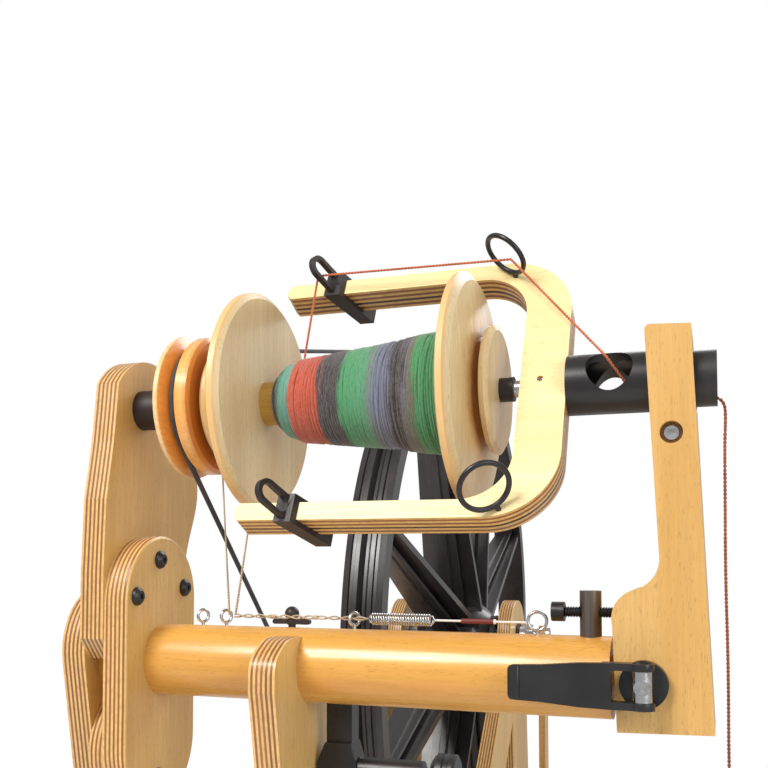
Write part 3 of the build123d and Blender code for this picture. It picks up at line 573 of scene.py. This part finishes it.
def yarn_tail(wool):
    """The end of the yarn hangs from the orifice."""
    line = smooth_line([mm(*point) for point in YARN_ROUTE], 0.0008)
    piece = as_mesh(twisted("yarn_end", line, 0.85 * MM, wool, 2, 0.0036))
    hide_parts("yarn_tail")
    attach(piece, "frame")


def brake_cords():
    tan_cord = fibre("tan_cord", (0.42, 0.3, 0.18), (0.6, 0.47, 0.31))
    brake_x, groove, lean = -80, 27.0, radians(12.1)
    foot = (-85.4, 3.5, -112)
    over = []
    for i in range(61):
        angle = pi + lean - (pi + 2 * lean) * i / 60
        over.append(mm(brake_x, groove * cos(angle), groove * sin(angle)))
    line = straight_line([mm(foot[0], -foot[1], foot[2]), over[0]]) + over[1:-1]
    line += straight_line([over[-1], mm(*foot)])
    piece = twisted("brake_cord_twist", line, 0.85 * MM, tan_cord, 2, 0.003)
    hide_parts("brake_cord")
    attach(piece, "frame")

    low, high = map(Vector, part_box("brake_tie"))
    middle = (low + high) / 2
    start, end = Vector((low.x, middle.y, middle.z)), Vector((high.x, middle.y, middle.z))
    line = straight_line([start, end], 0.0006)
    strands = plied(line, 0.75 * MM, 2, 0.014)
    knots = [0.3, 0.62]
    for spot in knots:
        centre = start.lerp(end, spot)
        for k in range(3):
            strands.append([centre + Vector((0.9 * MM * (k - 1) + 0.5 * MM * sin(2 * a), 0.8 * MM * cos(a),
                                             0.7 * MM * sin(a)))
                            for a in [2 * pi * i / 16 for i in range(17)]])
    piece = strand_object("brake_tie_twist", strands, 0.42 * MM, tan_cord)
    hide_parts("brake_tie")
    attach(piece, "frame")


def brake_spring():
    """Close-wound extension spring with an open loop at each end."""
    low, high = map(Vector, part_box("brake_spring"))
    middle, wire = (low + high) / 2, 0.42 * MM
    r = (high.y - low.y) / 2 - wire
    turns, steps = 24, 20
    coil = []
    for i in range(turns * steps + 1):
        angle = 2 * pi * i / steps
        x = low.x + 2 * MM + (high.x - low.x - 4 * MM) * i / (turns * steps)
        coil.append(Vector((x, middle.y + r * cos(angle), middle.z + r * sin(angle))))
    loops = []
    for x, side in ((low.x + 1.9 * MM, -1), (high.x - 1.9 * MM, 1)):
        loops.append([Vector((x + side * (1.4 * MM * sin(a)), middle.y, middle.z + 1.9 * MM * cos(a)))
                      for a in [pi * i / 16 for i in range(17)]])
    steel = metal("spring_steel", (0.66, 0.66, 0.66), 0.2)
    piece = strand_object("brake_spring_coil", [coil] + loops, wire, steel)
    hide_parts("brake_spring")
    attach(piece, "frame")


# --- stage, lights and camera ---------------------------------------------------------------------------
def stage():
    mesh = bpy.data.meshes.new("floor")
    half = FLOOR_HALF
    corners = [(-half, -half, 0), (half, -half, 0), (half, half, 0), (-half, half, 0)]
    mesh.from_pydata(corners, [], [(0, 1, 2, 3)])
    floor = bpy.data.objects.new("floor", mesh)
    bpy.context.scene.collection.objects.link(floor)
    graph = Graph("floor_paint", 0.6)
    mesh.materials.append(graph.finish((0.82, 0.82, 0.81)))


def area_light(name, place, aim, size, power, colour=(1, 1, 1)):
    light = bpy.data.lights.new(name, "AREA")
    light.shape, light.size, light.energy, light.color = "DISK", size, power, colour
    holder = bpy.data.objects.new(name, light)
    holder.location = place
    holder.rotation_euler = (Vector(aim) - Vector(place)).to_track_quat("-Z", "Y").to_euler()
    bpy.context.scene.collection.objects.link(holder)


def lights():
    head = FLYER + Vector((0, 0, -0.03))
    area_light("key", head + Vector((-0.5, -1.1, 0.95)), head, 0.7, 24, (1, 0.97, 0.92))
    area_light("fill", head + Vector((1.2, -0.9, 0.35)), head, 1.0, 9, (0.96, 0.98, 1))
    area_light("back", head + Vector((0.4, 1.3, 0.9)), head, 0.9, 12)
    world = bpy.data.worlds.new("studio")
    world.use_nodes = True
    shade = world.node_tree.nodes["Background"]
    shade.inputs["Color"].default_value = (1, 1, 1, 1)
    path = world.node_tree.nodes.new("ShaderNodeLightPath")
    dim = world.node_tree.nodes.new("ShaderNodeMapRange")
    dim.inputs["To Min"].default_value = WORLD_GLOW
    world.node_tree.links.new(path.outputs["Is Camera Ray"], dim.inputs["Value"])
    world.node_tree.links.new(dim.outputs["Result"], shade.inputs["Strength"])
    bpy.context.scene.world = world


def camera():
    lens = bpy.data.cameras.new("camera")
    lens.sensor_width, lens.lens = 36, CAMERA_LENS
    lens.shift_x, lens.shift_y = CAMERA_SHIFT
    holder = bpy.data.objects.new("camera", lens)
    holder.location = CAMERA_PLACE
    holder.rotation_euler = CAMERA_TURN
    bpy.context.scene.collection.objects.link(holder)
    bpy.context.scene.camera = holder
    bpy.context.scene.view_settings.view_transform = "Standard"


paint_frame()
paint_flyer()
paint_hardware()
soften_edges()
yarn_package()
rust = fibre("rust_yarn", (0.5, 0.09, 0.02), (0.62, 0.16, 0.05))
# The hanging end is the same rust yarn as the lead; its darker, browner copy of that colour is painted shade.
rust_tail_painted_shade = fibre("rust_tail_painted_shade", (0.3, 0.09, 0.05), (0.44, 0.12, 0.05))
yarn_lead(rust)
yarn_tail(rust_tail_painted_shade)
brake_cords()
brake_spring()
stage()
lights()
camera()
